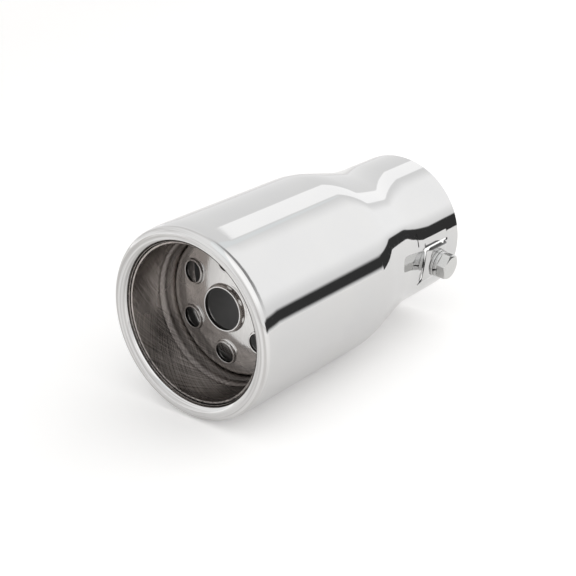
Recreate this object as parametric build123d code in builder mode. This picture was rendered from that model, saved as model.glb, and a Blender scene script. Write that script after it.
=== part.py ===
from build123d import *
from math import acos, asin, atan2, cos, degrees, radians, sin, sqrt, tan
import os

# Exhaust tip for a round tailpipe, with a dished seven-hole baffle behind a rolled lip.
# The axis runs along Y. The mouth faces -Y and the inlet end, where the pipe goes in, lies at y = 0.
# Z is up. Angles round the axis are measured from the top (+Z) towards +X. All sizes are millimetres.

# Outer shell: one drawn tube with a rolled lip, a straight body, a taper and a neck
overall_length = 138.4
body_radius = 38.0
neck_radius = 31.1
neck_length = 21.0
sheet = 0.8                 # thickness of every sheet piece
taper_run = 30.9            # along the axis, between the two corners of the taper
shoulder_reach = 5.5        # how far the bend at the body's corner reaches both ways from it
throat_reach = 9.7          # the same for the bend at the neck's corner
lip_lead_radius = 47.0      # slight fall of the body before the roll
lip_lead_angle = 7.3
lip_roll_radius = 3.0
lip_return = 1.2            # straight stretch that runs back inside the roll

# Inner sleeve: a rolled liner, necked in to seat the baffle, then flared out to the shell
sleeve_gap = 0.25           # open ring between the lip and the sleeve
sleeve_setback = 3.6        # front edge of the sleeve behind the front of the lip
sleeve_front_length = 14.2  # straight stretch from the front edge to the neck-in
sleeve_bend_radius = 2.0
sleeve_step = 1.9134          # how far the neck-in comes in
seat_length = 9.2           # straight stretch that holds the baffle's skirt
flare_angle = 45.0
flare_bend_radius = 2.0
land_length = 5.0           # straight stretch that meets the shell
weld_gap = 0.05             # room between pieces that slide together and are tacked

# Baffle: a domed disc with a skirt, one centre hole and a ring of small holes, all with raised collars
dome_setback = 21.9         # middle of the dome behind the front of the lip
dome_radius = 150.0
baffle_bend_radius = 1.8
skirt_length = 6.0
centre_hole_radius = 8.4
small_hole_radius = 4.2
small_hole_count = 6
first_hole_angle = 3.0      # small holes, counted from just beside the top
hole_ring_share = 0.529     # where the small holes lie between the centre hole's edge and the skirt
centre_collar_height = 2.0
small_collar_height = 1.2
collar_wall = 0.6
collar_root_share = 0.8     # foot bend of a collar against its height
collar_flare_angle = 60.0   # how far the foot of a collar bends outwards

# Clamp: a lug pressed out of the neck, with one radial bolt that runs into a nut plate under it
bolt_angle = 98.0
bolt_setback = 18.3         # bolt axis in front of the inlet end
lug_rise = 1.7              # how far the flat of the lug stands above the neck
lug_width = 11.4            # flat of the lug along the axis
lug_reach = 6.0             # flat of the lug below the bolt
lug_slope = 45.0
lug_edge_radius = 1.2
slot_angle = 85.6           # where the cut edge of the lug lies
slot_width = 1.0
slot_margin = 8.4           # closed neck left between the slot and the inlet end
slit_width = 0.9
slit_end_angle = 114.5
relief_radius = 0.8
wedge_start_angle = 64.5
wedge_end_angle = 79.0
wedge_width = 0.9
wedge_setback = 31.3        # wedge slit in front of the inlet end
pressed_band_angle = 7.0    # band of the neck above the slot that is pressed in
pressed_band_depth = 0.35
bolt_radius = 3.0
bolt_clearance = 0.3
thread_clearance = 0.05
bolt_tip_chamfer = 0.5
head_across_flats = 10.0
head_height = 4.0
head_turn = 16.0            # how far the head is turned, as it was left when tightened
head_chamfer_angle = 30.0
head_face_share = 0.95      # round face of the head against its width across flats
flat_washer_radius = 6.0
flat_washer_thickness = 1.2
washer_edge = 0.2
spring_washer_radius = 5.7
spring_washer_thickness = 1.6
spring_bore_clearance = 0.15
split_width = 0.7
split_slant = 25.0
split_angle = 280.0
nut_plate_length = 10.4
nut_plate_width = 12.6
nut_plate_shift = 1.0       # how far its middle lies from the bolt, towards the slot
nut_plate_thickness = 1.55
nut_plate_corner = 1.5

# Worked out from the sizes above
mouth_y = -overall_length
bore_radius = neck_radius - sheet
taper_drop = body_radius - neck_radius
taper_angle = degrees(atan2(taper_drop, taper_run))
shoulder_radius = shoulder_reach / tan(radians(taper_angle / 2))
throat_radius = throat_reach / tan(radians(taper_angle / 2))
cone_length = sqrt(taper_drop**2 + taper_run**2) - shoulder_reach - throat_reach
lip_fall = lip_lead_radius * (1 - cos(radians(lip_lead_angle)))
lip_lead_length = lip_lead_radius * sin(radians(lip_lead_angle))
lip_length = lip_lead_length + lip_roll_radius * (1 - sin(radians(lip_lead_angle)))
lip_opening = body_radius - lip_fall - lip_roll_radius * (1 + cos(radians(lip_lead_angle)))
sleeve_radius = lip_opening - sleeve_gap
seat_radius = sleeve_radius - sleeve_step
neck_in_angle = degrees(acos(1 - sleeve_step / (2 * sleeve_bend_radius)))
land_radius = body_radius - sheet - weld_gap
flare_bends = 2 * flare_bend_radius * (1 - cos(radians(flare_angle)))
flare_length = (land_radius - seat_radius - flare_bends) / sin(radians(flare_angle))
skirt_radius = seat_radius - sheet - weld_gap
dome_angle = degrees(asin((skirt_radius - baffle_bend_radius) / (dome_radius - baffle_bend_radius)))
dome_y = mouth_y + dome_setback
hole_ring_radius = centre_hole_radius + hole_ring_share * (skirt_radius - centre_hole_radius)
lug_face = neck_radius + lug_rise
lug_foot = lug_width / 2 + lug_rise * tan(radians(lug_slope))
slit_y = -bolt_setback - lug_foot - slit_width / 2
slot_arc = degrees(slot_width / neck_radius)
cut_depth = lug_rise + 2 * sheet
head_seat = lug_face + flat_washer_thickness + spring_washer_thickness
nut_plate_inside = lug_face - sheet - nut_plate_thickness


def axial_plane(angle):
    # Holds the axis and points outwards at an angle: its x runs along Y and its y outwards
    return Plane(origin=(0, 0, 0), x_dir=(0, 1, 0), z_dir=(cos(radians(angle)), 0, -sin(radians(angle))))


def outward_plane(angle, y, height):
    # Faces outwards at an angle, at a height above the axis: its x runs round the axis and its y along Y
    outwards = Vector(sin(radians(angle)), 0, cos(radians(angle)))
    round_axis = Vector(cos(radians(angle)), 0, -sin(radians(angle)))
    return Plane(origin=outwards * height + Vector(0, y, 0), x_dir=round_axis, z_dir=outwards)


def clamp_plane(height):
    # The outward plane at the bolt
    return outward_plane(bolt_angle, -bolt_setback, height)


def lug_form(face_height, inset, edge_radius):
    # Flat-topped form with sloping sides and rounded edges, cut off at the slot
    rise = face_height - bore_radius + sheet
    spread = 2 * (rise * tan(radians(lug_slope)) - inset)
    length = lug_reach + neck_radius / 2
    with BuildPart() as form:
        with BuildSketch(clamp_plane(face_height - rise)):
            with Locations((lug_reach - length / 2, 0)):
                Rectangle(length + spread, lug_width + spread)
        extrude(amount=rise, taper=lug_slope)
        upper_edges = form.edges().group_by(Axis(clamp_plane(0).origin, clamp_plane(0).z_dir))[1:]
        fillet([edge for group in upper_edges for edge in group], edge_radius)
        split(bisect_by=axial_plane(slot_angle), keep=Keep.TOP)
    return form.part


lug_inset = sheet * tan(radians(lug_slope / 2))

with BuildPart() as outer_shell:
    # Sheet profile: the outside line of the tube, thickened inwards and turned round the axis
    with BuildSketch(Plane.YZ):
        with BuildLine():
            neck_line = Line((0, neck_radius), (-neck_length, neck_radius))
            throat = JernArc(neck_line @ 1, neck_line % 1, throat_radius, -taper_angle)
            cone = PolarLine(throat @ 1, cone_length, direction=throat % 1)
            shoulder = JernArc(cone @ 1, cone % 1, shoulder_radius, taper_angle)
            body_line = Line(shoulder @ 1, (mouth_y + lip_length, body_radius))
            lip_lead = JernArc(body_line @ 1, body_line % 1, lip_lead_radius, lip_lead_angle)
            lip_roll = JernArc(lip_lead @ 1, lip_lead % 1, lip_roll_radius, 180 - lip_lead_angle)
            PolarLine(lip_roll @ 1, lip_return, direction=lip_roll % 1)
            offset(amount=sheet, side=Side.LEFT)
        make_face()
    revolve(axis=Axis.Y)
    # The band above the slot, pressed in towards its cut edge
    with BuildSketch(Plane.XZ.offset(-slit_y)):
        with BuildLine():
            cut_edge = Vector(cos(radians(90 - slot_angle)), sin(radians(90 - slot_angle)))
            band_edge = cut_edge.rotate(Axis.Z, pressed_band_angle)
            Polyline(
                cut_edge * (neck_radius - pressed_band_depth),
                band_edge * neck_radius,
                band_edge * body_radius,
                cut_edge * body_radius,
                close=True,
            )
        make_face()
    extrude(amount=slit_y + slot_margin, mode=Mode.SUBTRACT)
    # The lug, open to the inside, with the bore kept round
    with BuildPart(mode=Mode.PRIVATE) as lug:
        add(lug_form(lug_face, 0, lug_edge_radius))
        with BuildSketch(Plane.XZ):
            Circle(bore_radius)
        extrude(amount=overall_length, mode=Mode.SUBTRACT)
    add(lug.part)
    add(lug_form(lug_face - sheet, lug_inset, lug_edge_radius - sheet), mode=Mode.SUBTRACT)
    # The slot along the neck that frees the lug's top edge
    with BuildSketch(axial_plane(slot_angle - slot_arc)):
        with Locations(((slit_y - slot_margin) / 2, neck_radius)):
            Rectangle(-slit_y - slot_margin, 2 * cut_depth)
    revolve(axis=Axis.Y, revolution_arc=slot_arc, mode=Mode.SUBTRACT)
    # The slit round the neck in front of the lug, with a round relief at both ends
    slit_start_angle = slot_angle - slot_arc / 2
    with BuildSketch(axial_plane(slit_start_angle)):
        with Locations((slit_y, neck_radius)):
            Rectangle(slit_width, 2 * cut_depth)
    revolve(axis=Axis.Y, revolution_arc=slit_end_angle - slit_start_angle, mode=Mode.SUBTRACT)
    for end_angle in (slit_start_angle, slit_end_angle):
        with BuildSketch(outward_plane(end_angle, slit_y, neck_radius)):
            Circle(relief_radius)
        extrude(amount=cut_depth, both=True, mode=Mode.SUBTRACT)
    # The wedge-shaped slit where the taper meets the neck
    with BuildSketch(outward_plane((wedge_start_angle + wedge_end_angle) / 2, -wedge_setback, neck_radius)):
        wedge_half = neck_radius * radians(wedge_end_angle - wedge_start_angle) / 2
        with BuildLine():
            Polyline((wedge_half, -wedge_width / 2), (-wedge_half, 0), (wedge_half, wedge_width / 2))
            RadiusArc((wedge_half, wedge_width / 2), (wedge_half, -wedge_width / 2), wedge_width / 2)
        make_face()
    extrude(amount=cut_depth, both=True, mode=Mode.SUBTRACT)
    # The bolt's hole
    with BuildSketch(clamp_plane(lug_face)):
        Circle(bolt_radius + bolt_clearance)
    extrude(amount=cut_depth, both=True, mode=Mode.SUBTRACT)

with BuildPart() as inner_sleeve:
    # The sleeve's outside line, thickened inwards and turned round the axis
    with BuildSketch(Plane.YZ):
        with BuildLine():
            front = PolarLine((mouth_y + sleeve_setback, sleeve_radius), sleeve_front_length, 0)
            neck_in = JernArc(front @ 1, front % 1, sleeve_bend_radius, -neck_in_angle)
            neck_out = JernArc(neck_in @ 1, neck_in % 1, sleeve_bend_radius, neck_in_angle)
            seat = PolarLine(neck_out @ 1, seat_length, direction=neck_out % 1)
            flare_in = JernArc(seat @ 1, seat % 1, flare_bend_radius, flare_angle)
            flare = PolarLine(flare_in @ 1, flare_length, direction=flare_in % 1)
            flare_out = JernArc(flare @ 1, flare % 1, flare_bend_radius, -flare_angle)
            PolarLine(flare_out @ 1, land_length, direction=flare_out % 1)
            offset(amount=sheet, side=Side.RIGHT)
        make_face()
    revolve(axis=Axis.Y)


def upright_plane(plane):
    # Stands on a plane: its x is that plane's x and its y is that plane's outward direction
    return Plane(origin=plane.origin, x_dir=plane.x_dir, z_dir=-plane.y_dir)


def dome_fall(distance, inset=0):
    # How far the dome, drawn in by an inset, lies behind its foremost point, at a distance from the middle
    return dome_radius - sqrt((dome_radius - inset) ** 2 - distance**2)


def baffle_form(inset):
    # The baffle's solid form, drawn in by an inset
    with BuildPart() as form:
        with BuildSketch(Plane.YZ):
            with BuildLine():
                dome = JernArc((dome_y + inset, 0), (0, 1), dome_radius - inset, -dome_angle)
                bend = JernArc(dome @ 1, dome % 1, baffle_bend_radius - inset, dome_angle - 90)
                skirt = PolarLine(bend @ 1, skirt_length, direction=bend % 1)
                Polyline(skirt @ 1, ((skirt @ 1).X, 0), (dome_y + inset, 0))
            make_face()
        revolve(axis=Axis.Y)
    return form.part


def hole_plane(distance, angle):
    # Touches the dome at a hole's middle and faces the mouth: its x runs round the axis
    radial = Vector(sin(radians(angle)), 0, cos(radians(angle)))
    round_axis = Vector(cos(radians(angle)), 0, -sin(radians(angle)))
    middle = radial * distance + Vector(0, dome_y + dome_fall(distance), 0)
    return Plane(origin=middle, x_dir=round_axis, z_dir=middle - Vector(0, dome_y + dome_radius, 0))


def collar_form(place, radius, bend, fall, top):
    # Round form of a radius and a top height, whose foot bends outwards to where the dome has fallen
    with BuildPart() as form:
        with BuildSketch(upright_plane(place)):
            with BuildLine():
                side = Line((radius, top), (radius, bend - fall))
                flare = JernArc(side @ 1, side % 1, bend, collar_flare_angle)
                foot = PolarLine(flare @ 1, bend, direction=flare % 1)
                Polyline(foot @ 1, (0, (foot @ 1).Y), (0, top), side @ 0)
            make_face()
        revolve(axis=Axis(place.origin, place.z_dir))
    return form.part


with BuildPart() as baffle:
    add(baffle_form(0))
    holes = [(centre_hole_radius, centre_collar_height, hole_plane(0, 0))]
    for k in range(small_hole_count):
        place = hole_plane(hole_ring_radius, first_hole_angle + 360 / small_hole_count * k)
        holes.append((small_hole_radius, small_collar_height, place))
    # Raised collars that flare out into the dome
    for hole_radius, height, place in holes:
        bend = collar_root_share * height
        fall = dome_fall(hole_radius + collar_wall + bend)
        add(collar_form(place, hole_radius + collar_wall, bend, fall, height))
    add(baffle_form(sheet), mode=Mode.SUBTRACT)
    # The holes, which flare out in the same way at the back
    for hole_radius, height, place in holes:
        back_bend = collar_root_share * height + collar_wall
        back_fall = dome_fall(hole_radius + back_bend, sheet)
        add(collar_form(place, hole_radius, back_bend, back_fall, 2 * height), mode=Mode.SUBTRACT)

with BuildPart() as flat_washer:
    with BuildSketch(clamp_plane(lug_face)):
        Circle(flat_washer_radius)
        Circle(bolt_radius + bolt_clearance, mode=Mode.SUBTRACT)
    extrude(amount=flat_washer_thickness)
    chamfer(flat_washer.edges().filter_by(GeomType.CIRCLE).group_by(SortBy.RADIUS)[-1], washer_edge)

with BuildPart() as spring_washer:
    washer_plane = clamp_plane(lug_face + flat_washer_thickness)
    with BuildSketch(washer_plane):
        Circle(spring_washer_radius)
        Circle(bolt_radius + spring_bore_clearance, mode=Mode.SUBTRACT)
    extrude(amount=spring_washer_thickness)
    # The slanting split through one side of the ring
    split_turn = radians(split_angle)
    split_way = washer_plane.x_dir * cos(split_turn) + washer_plane.y_dir * sin(split_turn)
    with BuildSketch(Plane(origin=washer_plane.origin, x_dir=washer_plane.z_dir, z_dir=split_way)):
        with Locations((spring_washer_thickness / 2, 0)):
            Rectangle(4 * spring_washer_thickness, split_width, rotation=split_slant)
    extrude(amount=2 * spring_washer_radius, mode=Mode.SUBTRACT)

with BuildPart() as clamp_bolt:
    seat_plane = clamp_plane(head_seat)
    head_corner = head_across_flats / sqrt(3)
    head_face = head_face_share * head_across_flats / 2
    # The head's chamfered round form, cut to a hexagon, then the shank
    with BuildSketch(upright_plane(seat_plane)):
        with BuildLine():
            chamfer_drop = (head_corner - head_face) * tan(radians(head_chamfer_angle))
            Polyline(
                (0, 0),
                (head_corner, 0),
                (head_corner, head_height - chamfer_drop),
                (head_face, head_height),
                (0, head_height),
                close=True,
            )
        make_face()
    revolve(axis=Axis(seat_plane.origin, seat_plane.z_dir))
    with BuildSketch(seat_plane):
        RegularPolygon(head_across_flats / 2, 6, major_radius=False, rotation=head_turn)
    extrude(amount=head_height, mode=Mode.INTERSECT)
    with BuildSketch(seat_plane):
        Circle(bolt_radius)
    extrude(amount=nut_plate_inside - head_seat)
    tip = clamp_bolt.faces().sort_by(Axis(seat_plane.origin, seat_plane.z_dir))[0]
    chamfer(tip.edges(), bolt_tip_chamfer)

with BuildPart() as nut_plate:
    with BuildSketch(clamp_plane(nut_plate_inside)):
        with Locations((-nut_plate_shift, 0)):
            RectangleRounded(nut_plate_width, nut_plate_length, nut_plate_corner)
        Circle(bolt_radius + thread_clearance, mode=Mode.SUBTRACT)
    extrude(amount=nut_plate_thickness)

os.makedirs("parts", exist_ok=True)
pieces = {
    "outer_shell": outer_shell,
    "inner_sleeve": inner_sleeve,
    "baffle": baffle,
    "clamp_bolt": clamp_bolt,
    "spring_washer": spring_washer,
    "flat_washer": flat_washer,
    "nut_plate": nut_plate,
}
for name, piece in pieces.items():
    piece.part.label = name
    export_step(piece.part, f"parts/{name}.step")
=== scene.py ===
from math import asin, atan2, cos, degrees, hypot, pi, radians, sin, tan

import bmesh
import bpy
import numpy as np
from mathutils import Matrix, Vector


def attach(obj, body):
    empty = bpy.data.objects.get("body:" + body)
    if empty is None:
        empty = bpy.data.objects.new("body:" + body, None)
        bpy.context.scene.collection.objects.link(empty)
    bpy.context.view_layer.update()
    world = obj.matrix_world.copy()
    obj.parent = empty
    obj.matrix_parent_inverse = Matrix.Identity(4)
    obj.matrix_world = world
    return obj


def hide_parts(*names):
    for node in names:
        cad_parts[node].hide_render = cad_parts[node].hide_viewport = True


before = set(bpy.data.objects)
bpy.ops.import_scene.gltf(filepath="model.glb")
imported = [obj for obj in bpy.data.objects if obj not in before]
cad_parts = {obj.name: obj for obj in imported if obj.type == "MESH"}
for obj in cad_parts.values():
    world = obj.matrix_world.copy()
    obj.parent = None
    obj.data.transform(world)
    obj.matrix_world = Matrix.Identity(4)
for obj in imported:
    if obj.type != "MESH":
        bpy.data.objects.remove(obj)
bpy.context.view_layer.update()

# Exhaust tip: the axis runs along Y, the mouth faces -Y, the pipe goes in at y = 0 and Z is up.
# Angles round the axis are in degrees from the top (+Z) towards +X. Piece sizes are in millimetres.
mm = 0.001
print("frame loaded:", ", ".join(sorted(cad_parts)))


class Wire:  # one output socket; + - * on it add Math nodes
    def __init__(self, shader, socket):
        self.shader = shader
        self.socket = socket

    def math(self, operation, *others):
        return self.shader.add("ShaderNodeMath", {"operation": operation}, [self, *others])

    def __add__(self, other):
        return self.math("ADD", other)

    def __sub__(self, other):
        return self.math("SUBTRACT", other)

    def __mul__(self, other):
        return self.math("MULTIPLY", other)

    def __rsub__(self, other):
        return self.shader.add("ShaderNodeMath", {"operation": "SUBTRACT"}, [other, self])

    __radd__ = __add__
    __rmul__ = __mul__


class Shader:  # the node tree of a new material, or of the world
    def __init__(self, owner):
        self.owner = bpy.data.materials.new(owner) if isinstance(owner, str) else owner
        self.owner.use_nodes = True
        self.tree = self.owner.node_tree
        self.tree.nodes.clear()

    def add(self, kind, settings=None, sockets=(), output=0):
        node = self.tree.nodes.new(kind)
        for key, value in (settings or {}).items():
            setattr(node, key, value)
        pairs = sockets.items() if isinstance(sockets, dict) else enumerate(sockets)
        for key, value in pairs:
            if isinstance(value, Wire):
                self.tree.links.new(value.socket, node.inputs[key])
            else:
                node.inputs[key].default_value = value
        return Wire(self, node.outputs[output]) if len(node.outputs) else node

    def place(self, source):  # the three parts of the piece's own coordinates or of its UV map
        whole = self.add("ShaderNodeTexCoord", output=source)
        return [self.add("ShaderNodeSeparateXYZ", {}, [whole], axis) for axis in "XYZ"]

    def noise(self, x, y, z, detail=2.0, roughness=0.5):
        where = self.add("ShaderNodeCombineXYZ", {}, [x, y, z])
        values = {"Vector": where, "Scale": 1.0, "Detail": detail, "Roughness": roughness}
        return self.add("ShaderNodeTexNoise", {}, values)

    def ramp(self, value, low, high):  # 0 at low to 1 at high, with soft ends
        values = {"Value": value, "From Min": low, "From Max": high}
        return self.add("ShaderNodeMapRange", {"interpolation_type": "SMOOTHSTEP"}, values)

    def mix(self, factor, first, second):  # colours
        return self.add("ShaderNodeMix", {"data_type": "RGBA"}, {0: factor, 6: first, 7: second}, 2)

    def bump(self, height, strength, distance):
        return self.add("ShaderNodeBump", {}, {"Height": height, "Strength": strength, "Distance": distance})

    def finish(self, settings):
        surface = self.add("ShaderNodeBsdfPrincipled", {}, settings)
        self.add("ShaderNodeOutputMaterial", {}, {"Surface": surface})
        return self.owner


def penPath(start, heading, moves):
    # A line drawn from a start: runs of a length, and bends of a radius and a turn, positive to the left.
    # Gives its points and its heading at each of them, in radians.
    place, angle = np.array(start, float), radians(heading)
    points, headings = [place[None]], [[angle]]
    for size, turn, steps in moves:
        t = np.linspace(0, 1, steps + 1)[1:]
        if turn:
            side = np.sign(turn) * size
            centre = place + side * np.array((-sin(angle), cos(angle)))
            new = angle + radians(turn) * t
            points.append(centre + side * np.stack((np.sin(new), -np.cos(new)), 1))
            angle += radians(turn)
        else:
            new = np.full(steps, angle)
            points.append(place + size * t[:, None] * np.array((cos(angle), sin(angle))))
        headings.append(new)
        place = points[-1][-1]
    return np.concatenate(points), np.concatenate(headings)


def sheetEnd(place, heading, sheet, edgeRound):
    # A rounded end of a sheet that lies to the right of its line: half an ellipse from the line to its copy
    t = np.linspace(0, pi, 9)[1:-1, None]
    forward = np.array((cos(heading), sin(heading)))
    right = np.array((sin(heading), -cos(heading)))
    return place + right * sheet / 2 * (1 - np.cos(t)) + forward * edgeRound * np.sin(t)


def sheetProfile(line, headings, sheet, edgeRound, closed):
    # A line and its copy one sheet to the right, joined by a rounded end, or by two where it is closed
    right = np.stack((np.sin(headings), -np.cos(headings)), 1)
    parts = [line, sheetEnd(line[-1], headings[-1], sheet, edgeRound), (line + right * sheet)[::-1]]
    if closed:
        parts.append(sheetEnd(line[0], headings[0], sheet, -edgeRound)[::-1])
    return np.concatenate(parts)


def gridQuads(rows, columns, closedRows=False, closedColumns=False):
    # Corner numbers of every cell of a grid of points, wrapped round where it is closed
    r = np.arange(rows if closedRows else rows - 1)
    c = np.arange(columns if closedColumns else columns - 1)
    r, c = (a.ravel() for a in np.meshgrid(r, c, indexing="ij"))
    r2, c2 = (r + 1) % rows, (c + 1) % columns
    return np.stack((r * columns + c, r * columns + c2, r2 * columns + c2, r2 * columns + c), 1)


def joinGrids(grids):
    # Grids of points and the corner numbers of their cells, put one after the other
    starts = np.cumsum([0] + [len(points) for points, quads in grids[:-1]])
    points = np.concatenate([points for points, quads in grids])
    return points, np.concatenate([quads + start for start, (_, quads) in zip(starts, grids)])


def makePiece(name, points, quads, triangles=None, smoothAngle=35, merge=0.0, uv=None, inside=None):
    # A mesh from points in millimetres and corner numbers, shaded smooth but for edges sharper than an angle.
    # Points closer than merge become one, and then all faces are turned outwards.
    mesh = bpy.data.meshes.new(name)
    faces = [quads] if triangles is None else [quads, triangles]
    corners = np.concatenate([f.ravel() for f in faces])
    sizes = np.concatenate([np.full(len(f), f.shape[1]) for f in faces])
    mesh.vertices.add(len(points))
    mesh.vertices.foreach_set("co", (np.asarray(points) * mm).astype(np.float32).ravel())
    mesh.loops.add(len(corners))
    mesh.loops.foreach_set("vertex_index", corners.astype(np.int32))
    mesh.polygons.add(len(sizes))
    mesh.polygons.foreach_set("loop_start", np.concatenate(([0], np.cumsum(sizes)[:-1])).astype(np.int32))
    mesh.update(calc_edges=True)
    if uv is not None:
        mesh.uv_layers.new(name="surface").data.foreach_set("uv", (uv * mm).astype(np.float32).ravel())
    if inside is not None:
        mesh.attributes.new("inside", "FLOAT", "POINT").data.foreach_set("value", inside.astype(np.float32))
    if merge:
        work = bmesh.new()
        work.from_mesh(mesh)
        bmesh.ops.remove_doubles(work, verts=work.verts, dist=merge * mm)
        bmesh.ops.recalc_face_normals(work, faces=work.faces)
        work.to_mesh(mesh)
        work.free()
    mesh.validate()
    mesh.polygons.foreach_set("use_smooth", np.ones(len(mesh.polygons), bool))
    mesh.set_sharp_from_angle(angle=radians(smoothAngle))
    piece = bpy.data.objects.new(name, mesh)
    bpy.context.scene.collection.objects.link(piece)
    return piece


def turnedGrid(profile, angles, closedRows=True):
    # A profile of (y, radius) carried round the axis: x = r sin a, z = r cos a
    a = np.radians(angles)
    y, r = profile[:, :1], profile[:, 1:]
    points = np.stack((r * np.sin(a), y + 0 * a, r * np.cos(a)), -1).reshape(-1, 3)
    return points, gridQuads(len(profile), len(a), closedRows, True)


def turnedUv(profile, columns, radius):
    # The surface rolled out flat, in millimetres: round the axis at one radius, and along the profile
    rows = len(profile)
    steps = np.linalg.norm(np.diff(profile, axis=0, append=profile[:1]), axis=1)
    along = np.concatenate(([0], np.cumsum(steps)))
    r, c = (a.ravel() for a in np.meshgrid(np.arange(rows), np.arange(columns), indexing="ij"))
    u = np.stack((c, c + 1, c + 1, c), 1) * (2 * pi * radius / columns)
    v = along[np.stack((r, r, r + 1, r + 1), 1)]
    return np.stack((u, v), -1)


def dress(piece, node, material):
    piece.data.materials.append(material)
    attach(piece, "root")
    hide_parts(node)


shell = {
    "length": 138.4, "bodyRadius": 38.0, "neckRadius": 31.1, "neckLength": 21.0, "sheet": 0.8,
    "taperRun": 30.9, "shoulderReach": 5.5, "throatReach": 9.7,
    "leadRadius": 47.0, "leadAngle": 7.3, "rollRadius": 3.0, "rollReturn": 1.2,
    "slotAngles": (83.76, 85.6), "slotEnd": 8.4, "slitY": -26.15, "slitWidth": 0.9, "slitEndAngle": 114.5,
    "reliefRadius": 0.8, "wedgeAngles": (64.5, 79.0), "wedgeY": -31.3, "wedgeWidth": 0.9,
    "boltAngle": 98.0, "boltY": -18.3, "boltHole": 3.3,
    "lugFace": 32.8, "lugWidth": 11.4, "lugReach": 6.0, "lugRound": 0.9,
    "pressedAngle": 7.0, "pressedDepth": 0.35, "pressedFade": 0.8,
    "fineStep": 0.34, "columnStep": 2.0, "fineAngles": (60, 119), "fineRows": (-6.8, -33.0), "endBand": 1.0,
}

taperDrop = shell["bodyRadius"] - shell["neckRadius"]
taperAngle = atan2(taperDrop, shell["taperRun"])
shoulderRadius = shell["shoulderReach"] / tan(taperAngle / 2)
throatRadius = shell["throatReach"] / tan(taperAngle / 2)
coneLength = hypot(taperDrop, shell["taperRun"]) - shell["shoulderReach"] - shell["throatReach"]
throatEnd = -shell["neckLength"] - throatRadius * sin(taperAngle)
coneEnd = throatEnd - coneLength * cos(taperAngle)
shoulderEnd = coneEnd - shoulderRadius * sin(taperAngle)
lead = radians(shell["leadAngle"])
leadStart = -shell["length"] + shell["leadRadius"] * sin(lead) + shell["rollRadius"] * (1 - sin(lead))


def shellRadius(y):
    # Neck, bend, cone, bend and body, one after the other along the axis
    into = np.clip(-shell["neckLength"] - y, 0, throatRadius * sin(taperAngle))
    throat = shell["neckRadius"] + throatRadius - np.sqrt(throatRadius**2 - into**2)
    cone = np.clip(throatEnd - y, 0, coneLength * cos(taperAngle)) * tan(taperAngle)
    rise = np.clip(y - shoulderEnd, 0, shoulderRadius * sin(taperAngle))
    shoulder = shoulderRadius - np.sqrt(shoulderRadius**2 - rise**2)
    return np.where(y > coneEnd, throat + cone, shell["bodyRadius"] - shoulder)


def smoothMin(a, b, k):
    # The smaller of two values, with the corner between them rounded over a width k
    h = np.clip(0.5 + 0.5 * (b - a) / k, 0, 1)
    return b * (1 - h) + a * h - k * h * (1 - h)


def neckRadiusAt(angle, y):
    # The plain radius, raised to the lug below the slot and pressed in above it
    plain = shellRadius(y)
    d = np.radians(angle - shell["boltAngle"])
    near = np.abs(d) < radians(60)
    d = np.where(near, d, 0)
    face = shell["lugFace"] / np.cos(d)
    side = (shell["lugFace"] + shell["lugWidth"] / 2 - np.abs(y - shell["boltY"])) / np.cos(d)
    foot = (shell["lugFace"] + shell["lugReach"]) / (np.cos(d) + np.sin(d))
    lug = smoothMin(smoothMin(face, side, shell["lugRound"]), foot, shell["lugRound"])
    raised = -smoothMin(-plain, -lug, shell["lugRound"] / 2)
    slotMiddle = np.mean(shell["slotAngles"])
    share = np.clip(1 - (shell["slotAngles"][0] - angle) / shell["pressedAngle"], 0, 1) * (angle < slotMiddle)
    fade = shell["pressedFade"]
    window = np.clip((y - shell["slitY"]) / fade, 0, 1) * np.clip((-shell["slotEnd"] - y) / fade, 0, 1)
    return np.where(near & (angle > slotMiddle), raised, plain - shell["pressedDepth"] * share * window)


def cutDistance(arc, y):
    # Distance to the nearest cut on the unrolled neck, negative inside it: slot, slit, reliefs, wedge and
    # bolt hole
    def box(a1, a2, y1, y2):
        da = np.maximum(a1 - arc, arc - a2)
        dy = np.maximum(y1 - y, y - y2)
        return np.minimum(np.maximum(da, dy), 0) + np.hypot(np.maximum(da, 0), np.maximum(dy, 0))

    def disc(a0, y0, r):
        return np.hypot(arc - a0, y - y0) - r

    k = radians(1) * shell["neckRadius"]
    slotMiddle = np.mean(shell["slotAngles"]) * k
    half = shell["slitWidth"] / 2
    w1, w2 = (a * k for a in shell["wedgeAngles"])
    share = np.clip((arc - w1) / (w2 - w1), 0, 1)
    beside = np.maximum(w1 - arc, arc - w2)
    wedge = np.maximum(np.abs(y - shell["wedgeY"]) - share * shell["wedgeWidth"] / 2, beside)
    cuts = [
        box(shell["slotAngles"][0] * k, shell["slotAngles"][1] * k, shell["slitY"], -shell["slotEnd"]),
        box(slotMiddle, shell["slitEndAngle"] * k, shell["slitY"] - half, shell["slitY"] + half),
        disc(slotMiddle, shell["slitY"], shell["reliefRadius"]),
        disc(shell["slitEndAngle"] * k, shell["slitY"], shell["reliefRadius"]),
        wedge,
        disc(w2, shell["wedgeY"], shell["wedgeWidth"] / 2),
        disc(shell["boltAngle"] * k, shell["boltY"], shell["boltHole"]),
    ]
    return np.minimum.reduce(cuts)


def graded(keys, steps):
    # Values from key to key, each stretch divided into steps no longer than the one given for it
    counts = [max(1, round(abs(b - a) / s)) for a, b, s in zip(keys, keys[1:], steps)]
    parts = [np.linspace(a, b, n + 1)[:-1] for a, b, n in zip(keys, keys[1:], counts)]
    return np.concatenate(parts + [keys[-1:]])


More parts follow.
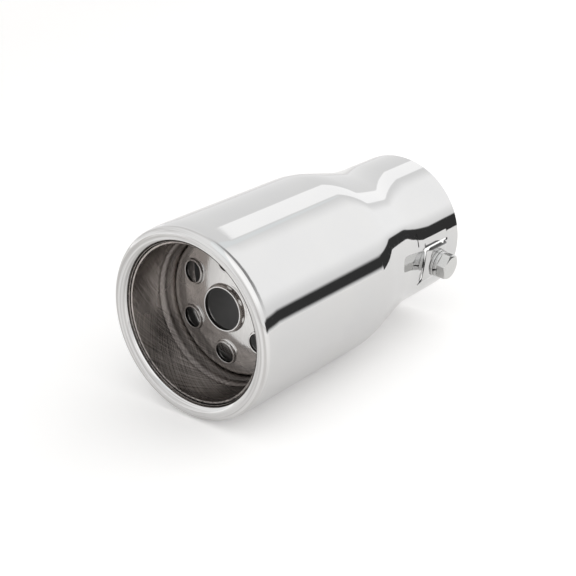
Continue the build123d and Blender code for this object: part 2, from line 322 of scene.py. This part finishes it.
def thicken(points, quads, triangles, sheet):
    # A second skin one sheet below the first, along its normals, and walls along every open edge
    normals = np.zeros_like(points)
    for faces in (quads, triangles):
        corner = points[faces]
        across = np.cross(corner[:, 2] - corner[:, 0], corner[:, -1] - corner[:, 1])
        for k in range(faces.shape[1]):
            np.add.at(normals, faces[:, k], across)
    normals /= np.maximum(np.linalg.norm(normals, axis=1, keepdims=True), 1e-9)
    count = len(points)
    edges = [np.stack((f, np.roll(f, -1, 1)), -1).reshape(-1, 2) for f in (quads, triangles)]
    edges = np.concatenate(edges).astype(np.int64)
    single = ~np.isin(edges[:, 0] * count + edges[:, 1], edges[:, 1] * count + edges[:, 0])
    rim = edges[single]
    walls = np.stack((rim[:, 1], rim[:, 0], rim[:, 0] + count, rim[:, 1] + count), 1)
    skin = np.concatenate((points, points - sheet * normals))
    quads = np.concatenate((quads, quads[:, ::-1] + count, walls))
    return skin, quads, np.concatenate((triangles, triangles[:, ::-1] + count))


def buildShell():
    step = shell["fineStep"]
    degree = degrees(step / shell["neckRadius"])
    wide = shell["columnStep"]
    slot, slit, half = shell["slotAngles"], shell["slitY"], shell["slitWidth"] / 2
    fineStart, fineEnd = shell["fineAngles"]
    columnKeys = np.array([0, fineStart, *slot, fineEnd, 360.0])
    angles = graded(columnKeys, (wide, degree, degree, degree, wide))[:-1]
    keys = (0, -shell["endBand"], shell["fineRows"][0], -shell["slotEnd"], slit + half, slit - half,
            shell["fineRows"][1], coneEnd, shoulderEnd, leadStart)
    y = graded(np.array(keys), (0.5, 1.5, step, step, step, step, 2.0, 0.8, 8.0))
    turn = shell["leadAngle"]
    lip, headings = penPath((leadStart, shell["bodyRadius"]), 180, [
        (shell["leadRadius"], turn, 10), (shell["rollRadius"], 180 - turn, 40), (shell["rollReturn"], 0, 2)])
    lip = lip[1:]
    arc, rows = np.meshgrid(np.radians(angles) * shell["neckRadius"], y)
    distance = cutDistance(arc, rows)
    # Points close to a cut's outline move on to it
    nudge = 0.01
    slopeA = (cutDistance(arc + nudge, rows) - cutDistance(arc - nudge, rows)) / (2 * nudge)
    slopeY = (cutDistance(arc, rows + nudge) - cutDistance(arc, rows - nudge)) / (2 * nudge)
    onEdge = np.abs(distance) < 0.52 * step
    arc = np.where(onEdge, arc - distance * slopeA, arc)
    rows = np.where(onEdge, rows - distance * slopeY, rows)
    state = np.where(onEdge, 0, np.sign(distance))
    angle = np.degrees(arc / shell["neckRadius"])
    radius = neckRadiusAt(angle, rows)
    count = len(angles)
    angle = np.concatenate((angle, np.tile(angles, (len(lip), 1))))
    rows = np.concatenate((rows, np.tile(lip[:, :1], (1, count))))
    radius = np.concatenate((radius, np.tile(lip[:, 1:], (1, count))))
    state = np.concatenate((state, np.ones((len(lip), count)))).ravel()
    turn = np.radians(angle)
    points = np.stack((radius * np.sin(turn), rows, radius * np.cos(turn)), -1).reshape(-1, 3)
    quads = gridQuads(len(rows), count, False, True)[:, ::-1]
    corner = state[quads]
    middle = points[quads].mean(1)
    middleArc = (np.arctan2(middle[:, 0], middle[:, 2]) % (2 * pi)) * shell["neckRadius"]
    inCut = (cutDistance(middleArc, middle[:, 1]) < 0) & (corner == 0).all(1)
    inside, outside = (corner < 0).any(1), (corner > 0).any(1)
    keep = ~inCut & ~(inside & ~outside)
    mixed = inside & outside
    triangles = []
    for k in range(4):  # the corner k lies outside and the one across from it inside
        pick = mixed & (corner[:, k] > 0)
        triangles.append(quads[pick][:, [(k - 1) % 4, k, (k + 1) % 4]])
    skin = thicken(points, quads[keep & ~mixed], np.concatenate(triangles), shell["sheet"])
    return makePiece("shell_skin", *skin, inside=np.repeat([0, 1], len(points)))


sleeve = {
    "frontY": -134.8, "radius": 31.393, "frontLength": 14.2, "bendRadius": 2.0, "bendAngle": 58.557,
    "seatLength": 9.2, "flareRadius": 2.0, "flareAngle": 45.0, "flareLength": 9.19, "landLength": 5.0,
    "sheet": 0.8, "edgeRound": 0.25, "columns": 240,
}


def buildSleeve():
    turn, flare = sleeve["bendAngle"], sleeve["flareAngle"]
    line, headings = penPath((sleeve["frontY"], sleeve["radius"]), 0, [
        (sleeve["frontLength"], 0, 8), (sleeve["bendRadius"], -turn, 12), (sleeve["bendRadius"], turn, 12),
        (sleeve["seatLength"], 0, 4), (sleeve["flareRadius"], flare, 8), (sleeve["flareLength"], 0, 4),
        (sleeve["flareRadius"], -flare, 8), (sleeve["landLength"], 0, 3)])
    profile = sheetProfile(line, headings, sleeve["sheet"], sleeve["edgeRound"], True)
    angles = np.linspace(0, 360, sleeve["columns"], endpoint=False)
    uv = turnedUv(profile, sleeve["columns"], sleeve["radius"])
    return makePiece("sleeve_skin", *turnedGrid(profile, angles), uv=uv)


baffle = {
    "domeY": -116.5, "domeRadius": 150.0, "sheet": 0.8,
    "skirtRadius": 28.63, "bendRadius": 1.8, "skirtLength": 6.0,
    "centreHole": 8.4, "centreCollar": 2.0, "centreFoot": 0.8,
    "smallHole": 4.2, "smallCollar": 1.2, "smallFoot": 0.4,
    "ringRadius": 19.1, "firstAngle": 3.0, "count": 6, "collarWall": 0.6, "rimRound": 0.16,
    "innerCell": 11.95, "outerSteps": 48, "innerSteps": 24, "sideSteps": 20, "edgeRound": 0.2,
}


def domePoint(distance, angle):
    # The foremost side of the dome, a ball whose centre lies behind it on the axis
    a = np.radians(angle)
    fall = baffle["domeRadius"] - np.sqrt(baffle["domeRadius"]**2 - distance**2)
    return np.stack((distance * np.sin(a), baffle["domeY"] + fall, distance * np.cos(a)), -1)


def holePatch(distance, angle, hole, collar, foot, boundary):
    # The dome round one hole, from a boundary on the front to the hole, over its collar and back behind it.
    # A collar's foot is a quarter of an ellipse: wide along the dome, and upright where it meets the rim.
    # The last list is 1 for the points inside the hole or behind the dome and 0 for those in front.
    big, sheet, e = baffle["domeRadius"], baffle["sheet"], baffle["rimRound"]
    ballCentre = np.array((0, baffle["domeY"] + big, 0))
    middle = domePoint(np.array(float(distance)), angle)
    normal = (middle - ballCentre) / big
    across = np.array((cos(radians(angle)), 0, -sin(radians(angle))))
    up = np.cross(normal, across)
    away = boundary - middle
    theta = np.arctan2(away @ up, away @ across)
    wall = hole + baffle["collarWall"]
    t = np.linspace(0, pi / 2, 12)[:, None]
    rim = np.linspace(0, pi / 2, 5)[:, None]

    def ring(radius, height):
        direction = np.cos(theta)[:, None] * across + np.sin(theta)[:, None] * up
        return middle + radius[..., None] * direction + height[..., None] * normal

    def fall(radius, size):
        return size - np.sqrt(size**2 - radius**2)

    def ballRows(edge, size):
        # Rows of the ball between the boundary and a ring of points, evenly spaced
        share = np.linspace(0, 1, 8)[:-1, None, None]
        between = (boundary - ballCentre) * (1 - share) + (edge - ballCentre) * share
        return ballCentre + between / np.linalg.norm(between, axis=-1, keepdims=True) * size

    radius = wall + foot * (1 - np.sin(t))
    front = ring(radius, (collar - e) * (1 - np.cos(t)) - fall(radius, big) * np.cos(t))
    outerRim = ring(wall - e * (1 - np.cos(rim)), collar - e * (1 - np.sin(rim)))
    innerRim = ring(hole + e * (1 - np.sin(rim)), collar - e * (1 - np.cos(rim)))
    radius = hole + (foot + baffle["collarWall"]) * (1 - np.sin(t))
    back = ring(radius, (collar - e) * (1 - np.cos(t)) - sheet - fall(radius, big - sheet) * np.cos(t))[::-1]
    ahead = [ballRows(front[0], big), front, outerRim[1:], innerRim[:-2]]
    behind = [innerRim[-2:], back, ballRows(back[-1], big - sheet)[::-1]]
    grid = np.concatenate(ahead + behind)
    inside = np.repeat(np.arange(len(grid)) >= sum(len(part) for part in ahead), len(boundary))
    return grid.reshape(-1, 3), gridQuads(grid.shape[0], grid.shape[1], False, True), inside


def buildBaffle():
    sheet, count = baffle["sheet"], baffle["count"]
    inner, sideSteps = baffle["innerCell"], baffle["sideSteps"]
    outerSteps, innerSteps = baffle["outerSteps"], baffle["innerSteps"]
    bend = baffle["bendRadius"]
    domeAngle = asin((baffle["skirtRadius"] - bend) / (baffle["domeRadius"] - bend))
    outer = baffle["domeRadius"] * sin(domeAngle)
    start = domePoint(np.array(outer), 0.0)
    turn = 90 - degrees(domeAngle)
    line, headings = penPath((start[1], outer), turn, [(bend, -turn, 12), (baffle["skirtLength"], 0, 4)])
    profile = sheetProfile(line, headings, sheet, baffle["edgeRound"], False)
    step = 360 / count
    first = baffle["firstAngle"] - step / 2
    points, quads = turnedGrid(profile, first + np.arange(count * outerSteps) * step / outerSteps, False)
    parts = [(points, quads, np.zeros(len(points)))]
    around = first + np.arange(count * innerSteps) * step / innerSteps
    circle = domePoint(np.full(count * innerSteps, inner), around)
    parts.append(holePatch(0, 0, baffle["centreHole"], baffle["centreCollar"], baffle["centreFoot"], circle))
    for k in range(count):
        middle = baffle["firstAngle"] + step * k
        a = np.linspace(-step / 2, step / 2, outerSteps + 1)[:-1]
        b = np.linspace(step / 2, -step / 2, innerSteps + 1)[:-1]
        d = np.linspace(outer, inner, sideSteps + 1)[:-1]
        distance = np.concatenate(
            (np.full(outerSteps, outer), d, np.full(innerSteps, inner), outer + inner - d))
        angle = np.concatenate((a, np.full(sideSteps, step / 2), b, np.full(sideSteps, -step / 2)))
        boundary = domePoint(distance, middle + angle)
        collar = (baffle["smallHole"], baffle["smallCollar"], baffle["smallFoot"])
        parts.append(holePatch(baffle["ringRadius"], middle, *collar, boundary))
    inside = np.concatenate([part[2] for part in parts])
    points, quads = joinGrids([part[:2] for part in parts])
    return makePiece("baffle_skin", points, quads, merge=0.002, smoothAngle=50, inside=inside)


clamp = {
    "seat": 35.6, "headAcross": 10.0, "headHeight": 4.0, "headTurn": 16.0,
    "chamferAngle": 30.0, "faceShare": 0.95, "cornerSharpness": 70.0,
    "boltRadius": 3.0, "boltTip": 30.45, "tipChamfer": 0.5, "pitch": 1.0, "threadDepth": 0.5,
    "flatWasher": (32.8, 1.2, 3.3, 6.0),  # low, thickness, inner and outer radius
    "springWasher": (34.0, 1.6, 3.15, 5.7),  # the same
    "washerEdge": 0.2, "springEdge": 0.3, "splitAngle": 280.0, "splitWidth": 0.7, "splitSlant": 25.0,
    "nutPlate": (30.45, 1.55, 3.05),  # low, thickness, radius of the hole
    "nutWidth": 12.6, "nutLength": 10.4, "nutShift": 1.0, "nutCorner": 1.5, "nutEdge": 0.15,
    "columns": 192,
}


def atBolt(radius, theta, height):
    # Points of the bolt's own frame: x runs round the tube and y along it, both by radius and angle, and
    # height is measured outwards from the tube's axis
    turn = radians(shell["boltAngle"])
    x, y = radius * np.cos(theta), radius * np.sin(theta) + shell["boltY"]
    height = height + 0 * x
    return np.stack((x * cos(turn) + height * sin(turn), y, height * cos(turn) - x * sin(turn)), -1)


def buildBolt():
    theta = np.arange(clamp["columns"]) * 2 * pi / clamp["columns"]
    seat, top = clamp["seat"], clamp["headHeight"]
    # The head's outline: the sum of high powers of the six flats' cosines rounds its corners a little
    flats = radians(clamp["headTurn"] + 30) + np.arange(6)[:, None] * pi / 3
    power = clamp["cornerSharpness"]
    outline = clamp["headAcross"] / 2 / (np.maximum(np.cos(theta - flats), 0) ** power).sum(0) ** (1 / power)
    face = clamp["faceShare"] * clamp["headAcross"] / 2
    slope = tan(radians(clamp["chamferAngle"]))
    beyond = np.maximum(outline - face, 0)
    rows = [(share * face + 0 * theta, top + 0 * theta) for share in (0, 0.4, 0.8, 0.97, 1)]
    rows += [(face + share * beyond, top - share * beyond * slope) for share in (0.1, 0.5, 0.9, 1)]
    rows += [(outline, (top - beyond * slope) * share) for share in (0.97, 0.6, 0.2, 0.03)]
    rows += [(outline - 0.1, 0 * theta), (clamp["boltRadius"] + 0 * theta, 0 * theta)]
    # The thread: the radius falls and rises along the bolt in step with the turn round it
    length = clamp["seat"] - clamp["boltTip"]
    for depth in np.arange(0.1, length - clamp["tipChamfer"], 0.1):
        phase = (-depth / clamp["pitch"] - theta / (2 * pi)) % 1
        groove = clamp["threadDepth"] * min(1, depth / 0.6) * np.clip(1.15 - 2.3 * np.abs(phase - 0.5), 0, 1)
        rows.append((clamp["boltRadius"] - groove, -depth + 0 * theta))
    tip = clamp["boltRadius"] - clamp["tipChamfer"]
    rows += [(tip + 0 * theta, -length + 0 * theta), (0 * theta, -length + 0 * theta)]
    radius, height = np.array([r for r, h in rows]), np.array([h for r, h in rows]) + seat
    quads = gridQuads(len(radius), len(theta), False, True)
    points = atBolt(radius, theta, height).reshape(-1, 3)
    return makePiece("bolt_skin", points, quads, merge=0.0005, smoothAngle=22)


def roundedLoop(inner, outer, low, high, edge):
    # Radius and height round a ring's section whose four edges are rounded, inner to outer along the top
    t = np.linspace(0, pi / 2, 5)[:, None]
    corners = [(inner + edge, high - edge, pi), (outer - edge, high - edge, pi / 2),
               (outer - edge, low + edge, 0), (inner + edge, low + edge, -pi / 2)]
    radius = np.concatenate([r + edge * np.cos(start - t) for r, h, start in corners])
    height = np.concatenate([h + edge * np.sin(start - t) for r, h, start in corners])
    return radius, height + 0 * radius


def buildRing(name, inner, outer, low, thickness, edge):
    theta = np.arange(clamp["columns"]) * 2 * pi / clamp["columns"]
    radius, height = roundedLoop(inner + 0 * theta, outer + 0 * theta, low, low + thickness, edge)
    points = atBolt(radius, theta, height).reshape(-1, 3)
    return makePiece(name, points, gridQuads(*radius.shape, True, True), merge=0.0005)


def buildNutPlate():
    # The outline is a rectangle with rounded corners whose middle is shifted from the bolt: a ray from the
    # bolt meets the straight sides, or the circle of a corner where that lies nearer
    theta = np.arange(clamp["columns"]) * 2 * pi / clamp["columns"]
    corner, shift = clamp["nutCorner"], clamp["nutShift"]
    c, s = np.cos(theta), np.abs(np.sin(theta))
    halfX = clamp["nutWidth"] / 2 - np.sign(c) * shift
    halfY = clamp["nutLength"] / 2
    c = np.abs(c)
    straight = np.minimum(halfX / np.maximum(c, 1e-9), halfY / np.maximum(s, 1e-9))
    mx, my = halfX - corner, halfY - corner
    along = mx * c + my * s
    rounded = along + np.sqrt(np.maximum(along**2 - mx**2 - my**2 + corner**2, 0))
    inCorner = (straight * c > mx) & (straight * s > my)
    low, thickness, hole = clamp["nutPlate"]
    outline = np.where(inCorner, rounded, straight)
    return buildRing("nut_skin", hole, outline, low, thickness, clamp["nutEdge"])


def buildSpringWasher():
    # The ring's section carried round from one slanting cut to the other, closed by its own middle at both
    low, thickness, inner, outer = clamp["springWasher"]
    inner, outer = np.array([inner]), np.array([outer])
    radius, height = roundedLoop(inner, outer, low, low + thickness, clamp["springEdge"])
    radius, height = radius[:, 0], height[:, 0]
    lean = -(height - low - thickness / 2) * tan(radians(clamp["splitSlant"]))
    half = clamp["splitWidth"] / 2 / cos(radians(clamp["splitSlant"]))
    start = radians(clamp["splitAngle"]) + (lean + half) / radius
    end = radians(clamp["splitAngle"]) + 2 * pi + (lean - half) / radius
    share = np.linspace(0, 1, clamp["columns"])[:, None]
    theta = start * (1 - share) + end * share
    sections = atBolt(radius + 0 * theta, theta, height)
    first = np.broadcast_to(sections[0].mean(0), sections[:1].shape)
    last = np.broadcast_to(sections[-1].mean(0), sections[:1].shape)
    grid = np.concatenate((first, sections, last))
    quads = gridQuads(grid.shape[0], grid.shape[1], False, True)
    return makePiece("spring_skin", grid.reshape(-1, 3), quads, merge=0.0005, smoothAngle=50)


steel = {
    "polish": ((0.605, 0.605, 0.61, 1), (0.64, 0.637, 0.63, 1)),
    # The lip's two streak colours are painted reflection, lighter and darker than the polish.
    "lipReflectionStreaks": ((0.76, 0.755, 0.75, 1), (0.47, 0.455, 0.445, 1)), "lipShare": 0.75,
    "drawnInside": ((0.14, 0.14, 0.14, 1), (0.26, 0.255, 0.25, 1)),
    # The neck-in colour below is painted shade.
    "liner": ((0.04, 0.036, 0.034, 1), (0.57, 0.52, 0.49, 1)), "neckInPaintedShade": (0.08, 0.07, 0.065, 1),
    # The next colours are painted shade: a darker side of the baffle, and the insides of its holes and the
    # back of its dome.
    "paintedSideShade": (0.2, 0.19, 0.185, 1), "paintedHoleShade": (0.06, 0.055, 0.05, 1), "paintedHoleShadeShare": 0.85,
}


def polishedSteel():
    # Mirror polish outside: faint cloudy waves and polishing lines round the tube. The rolled lip has streaks
    # that run round it, lighter and darker than the polish, which are painted reflection: a noise of the
    # distance from the axis and of Y, drawn out on X and Z. Inside, and on most of each cut edge, the dull
    # skin of the drawn tube, darker and rough.
    shader = Shader("polishedSteel")
    x, y, z = shader.place("Object")
    skin = shader.add("ShaderNodeAttribute", {"attribute_name": "inside"}, output="Fac")
    inside = shader.ramp(skin, 0.0, 0.45)
    clouds = shader.noise(x * 60, y * 60, z * 60, 3.0)
    lines = shader.noise(x * 90, y * 5200, z * 90)
    outer = shader.mix(clouds, *steel["polish"])
    radius = (x * x + z * z).math("SQRT")
    # Painted reflection: streaks of lighter and darker colour round the rolled lip.
    reflectionStreaks = shader.ramp(shader.noise(x * 22, radius * 750 + z * 15, y * 750, 3.0, 0.6), 0.40, 0.64)
    front = -shell["length"]
    lip = 1 - shader.ramp(y, (front + 1.0) * mm, (front + 3.4) * mm)
    outer = shader.mix(lip * steel["lipShare"], outer, shader.mix(reflectionStreaks, *steel["lipReflectionStreaks"]))
    inner = shader.mix(clouds, *steel["drawnInside"])
    rough = (0.03 + lines * 0.03) * (1 - inside) + (0.42 + clouds * 0.15) * inside
    bump = shader.bump(clouds * 0.6 + lines * 0.02, 0.02, 0.001)
    tint = shader.mix(inside, outer, inner)
    return shader.finish({"Base Color": tint, "Metallic": 1.0, "Roughness": rough, "Normal": bump})


def linerSteel():
    # Brushed lines: two sets that cross at an angle on the rolled-out surface, each a noise drawn out along
    # them, over broad cloudy patches. One side is painted lighter, a painted reflection: a ramp over half of
    # Z less X. The necked-in stretch is painted darker, a painted shade: the tint falls between two places on
    # Y.
    shader = Shader("linerSteel")
    u, v, w = shader.place("UV")
    x, y, z = shader.place("Object")
    crossed = []
    for lean, fine in ((0.7, 1500), (-0.5, 1900)):
        lines = shader.noise((u + v * lean) * 45, (v - u * lean) * fine, 0.0, 2.0, 0.6)
        crossed.append(shader.ramp(lines, 0.36, 0.64))
    lines = crossed[0] * 0.5 + crossed[1] * 0.5
    patches = shader.ramp(shader.noise(x * 38, y * 60, z * 38, 1.0), 0.35, 0.65)
    # Painted reflection: the liner is painted lighter on its side towards -X and up.
    paintedLightSide = shader.ramp(z * 0.5 - x, 0.014, 0.031)
    grain = shader.noise(x * 1500, y * 1500, z * 1500, 3.0)
    blend = lines * 0.62 + patches * 0.12 + paintedLightSide * 0.5
    bright = shader.mix(blend, *steel["liner"])
    # Painted shade: the necked-in stretch of the liner is darkened towards near black.
    bend = sleeve["frontY"] + sleeve["frontLength"]
    begin = shader.ramp(y, (bend - 0.6) * mm, (bend + 1.0) * mm)
    end = shader.ramp(y, (bend + 4.1) * mm, (bend + 5.6) * mm)
    tint = shader.mix(begin * (1 - end) * 0.6, bright, steel["neckInPaintedShade"])
    bump = shader.bump(lines * 0.8 + grain * 0.2, 0.4, 0.0002)
    rough = 0.22 + patches * 0.12
    return shader.finish({"Base Color": tint, "Metallic": 1.0, "Roughness": rough, "Normal": bump})


# Dark and light colour, roughness, stretch of the lines on X, Y and Z, strength of the bump, and share of
# the painted shade that darkens the piece towards -X
brushed = {
    "plateSteel": ((0.60, 0.59, 0.58), (0.96, 0.95, 0.94), 0.05, (1500, 90, 300), 0.08, 0.45),
    "boltSteel": ((0.52, 0.52, 0.51), (0.70, 0.70, 0.69), 0.10, (900, 900, 900), 0.1, 0.0),
    "washerSteel": ((0.50, 0.50, 0.50), (0.64, 0.64, 0.63), 0.2, (1300, 400, 1300), 0.15, 0.0),
    # The nut plate's near-black colours are painted shade, so that the slot over it looks dark.
    "nutSteel": ((0.05, 0.05, 0.05), (0.11, 0.11, 0.105), 0.4, (1500, 1500, 1500), 0.2, 0.0),
}


def brushedSteel(name):
    # Fine lines: noise drawn out along one direction by a stretch of each coordinate, over cloudy patches.
    # What lies inside a hole or behind it is darkened, a painted shade, and a painted shade darkens the piece
    # towards -X and fades out across it on X; only the baffle has either.
    dark, light, rough, stretch, strength, paintedSideShade = brushed[name]
    shader = Shader(name)
    x, y, z = shader.place("Object")
    lines = shader.noise(x * stretch[0], y * stretch[1], z * stretch[2], 4.0, 0.65)
    patches = shader.noise(x * 120, y * 120, z * 120, 3.0)
    tint = shader.mix(lines * 0.55 + patches * 0.45, (*dark, 1), (*light, 1))
    inside = shader.add("ShaderNodeAttribute", {"attribute_name": "inside"}, output="Fac")
    # Painted shade: darker towards -X, and darker inside the holes and behind the dome.
    tint = shader.mix((1 - shader.ramp(x, -0.016, 0.012)) * paintedSideShade, tint, steel["paintedSideShade"])
    tint = shader.mix(inside * steel["paintedHoleShadeShare"], tint, steel["paintedHoleShade"])
    bump = shader.bump(lines, strength, 0.0002)
    surface = {"Base Color": tint, "Metallic": 1.0, "Roughness": rough + patches * 0.1, "Normal": bump}
    return shader.finish(surface)


studio = {
    "aim": (-7.62, -68.71, -10.08), "azimuth": 38.21, "elevation": 23.18, "distance": 500.0, "lens": 76.06,
    "sensor": 36.0, "floorZ": -38.0, "floorSize": 6000.0, "floorColor": (0.905, 0.895, 0.885, 1),
    "seenGlow": 0.2, "mirrorGlow": 0.11, "worldLight": 0.75, "cardRows": 25, "cardColumns": 9,
}
# Cards run along the axis between two angles round it, which may change from the near end to the far one:
# near start and end, far start and end, distance from the axis, from y, to y, brightness, the share of the
# card's width over which its edges fade, and how much bluer than white it is. A card of brightness over 1
# also lights matt surfaces.
cards = {
    "leftRoofBox": (-36, -10, -36, -10, 700, 529, 9000, 1.38, 0.06, 0.0),
    "rightRoofBox": (-9, 82, -9, 82, 700, -900, 9000, 1.30, 0.25, 0.0),
    "roofGap": (-9, 22, -9, -7, 690, -900, 735, 1.07, 0.03, 0.03),
    "leftWallBox": (-125, -84, -125, -84, 900, -2400, 600, 1.40, 0.25, 0.0),
    "lipLine": (-30, 84, -30, 84, 600, 85, 225, 0.36, 0.4, 0.0),
    "darkStrip": (81.5, 94.5, 77.5, 97.0, 230, -150, 200, 0.045, 0.26, 0.0),
    "darkStripFar": (79.0, 110.0, 70.0, 120.0, 230, 200, 1700, 0.045, 0.08, 0.0),
}


def buildCard(name, nearStart, nearEnd, farStart, farEnd, distance, fromY, toY, brightness, softEdge, blue):
    rows, columns = studio["cardRows"], studio["cardColumns"]
    across, along = (a.ravel() for a in np.meshgrid(np.linspace(0, 1, columns), np.linspace(0, 1, rows)))
    near = nearStart + (nearEnd - nearStart) * across
    far = farStart + (farEnd - farStart) * across
    a = np.radians(near + (far - near) * along)
    points = np.stack((distance * np.sin(a), fromY + (toY - fromY) * along, distance * np.cos(a)), 1)
    quads = gridQuads(rows, columns)
    corners = np.stack((across, along), 1)[quads.ravel()] / mm
    card = makePiece(name, points, quads, uv=corners)
    shader = Shader(name + "Light")
    u, v, w = shader.place("UV")
    fade = shader.ramp(0.5 - (u - 0.5).math("ABSOLUTE"), 0.0, softEdge)
    tint = (1 - blue, 1, 1 + blue / 3, 1)
    glow = shader.add("ShaderNodeEmission", {}, {"Color": tint, "Strength": 1 + fade * (brightness - 1)})
    shader.add("ShaderNodeOutputMaterial", {}, {"Surface": glow})
    card.data.materials.append(shader.owner)
    card.visible_camera = False
    card.visible_shadow = False
    card.visible_diffuse = brightness > 1


def seenRay(shader):
    # 1 for what the camera sees itself, or in mirror and glass, and 0 for light that falls on things
    rays = ("Is Camera Ray", "Is Glossy Ray", "Is Transmission Ray")
    camera, glossy, through = [shader.add("ShaderNodeLightPath", output=ray) for ray in rays]
    return camera.math("MAXIMUM", glossy).math("MAXIMUM", through)


def buildFloor():
    # Pale and matt; what the camera sees of it is a little lighter, so that it is white, and what it sees of
    # it in mirror and glass half as much
    side, z = studio["floorSize"] / 2, studio["floorZ"]
    points = np.array([(-side, -side, z), (side, -side, z), (side, side, z), (-side, side, z)])
    floor = makePiece("floor", points, np.array([[0, 1, 2, 3]]))
    shader = Shader("paleFloor")
    matt = shader.add("ShaderNodeBsdfDiffuse", {}, {"Color": studio["floorColor"]})
    camera = shader.add("ShaderNodeLightPath", output="Is Camera Ray")
    extra = studio["seenGlow"] - studio["mirrorGlow"]
    seen = seenRay(shader) * studio["mirrorGlow"] + camera * extra
    glow = shader.add("ShaderNodeEmission", {}, {"Color": (1, 1, 1, 1), "Strength": seen})
    both = shader.add("ShaderNodeAddShader", {}, [matt, glow])
    shader.add("ShaderNodeOutputMaterial", {}, {"Surface": both})
    floor.data.materials.append(shader.owner)


def buildStudio():
    scene = bpy.context.scene
    scene.view_settings.view_transform = "Standard"
    camera = bpy.data.objects.new("camera", bpy.data.cameras.new("camera"))
    scene.collection.objects.link(camera)
    az, el = radians(studio["azimuth"]), radians(studio["elevation"])
    out = Vector((sin(az) * cos(el), -cos(az) * cos(el), sin(el)))
    camera.location = (Vector(studio["aim"]) + out * studio["distance"]) * mm
    camera.rotation_euler = out.to_track_quat("Z", "Y").to_euler()
    camera.data.lens = studio["lens"]
    camera.data.sensor_width = studio["sensor"]
    camera.data.clip_start = 0.01
    scene.camera = camera

    scene.world = bpy.data.worlds.new("studioWhite")
    shader = Shader(scene.world)
    strength = studio["worldLight"] + seenRay(shader) * (1 - studio["worldLight"])
    light = shader.add("ShaderNodeBackground", {}, {"Color": (1, 1, 1, 1), "Strength": strength})
    shader.add("ShaderNodeOutputWorld", {}, {"Surface": light})
    buildFloor()
    for name, values in cards.items():
        buildCard(name, *values)


dress(buildShell(), "outer_shell", polishedSteel())
print("outer shell built")
dress(buildSleeve(), "inner_sleeve", linerSteel())
print("inner sleeve built")
dress(buildBaffle(), "baffle", brushedSteel("plateSteel"))
print("baffle built")
dress(buildBolt(), "clamp_bolt", brushedSteel("boltSteel"))
washerSteel = brushedSteel("washerSteel")
low, thickness, inner, outer = clamp["flatWasher"]
flat = buildRing("washer_skin", inner, outer, low, thickness, clamp["washerEdge"])
dress(flat, "flat_washer", washerSteel)
dress(buildSpringWasher(), "spring_washer", washerSteel)
dress(buildNutPlate(), "nut_plate", brushedSteel("nutSteel"))
print("fasteners built")
buildStudio()
print("studio built")
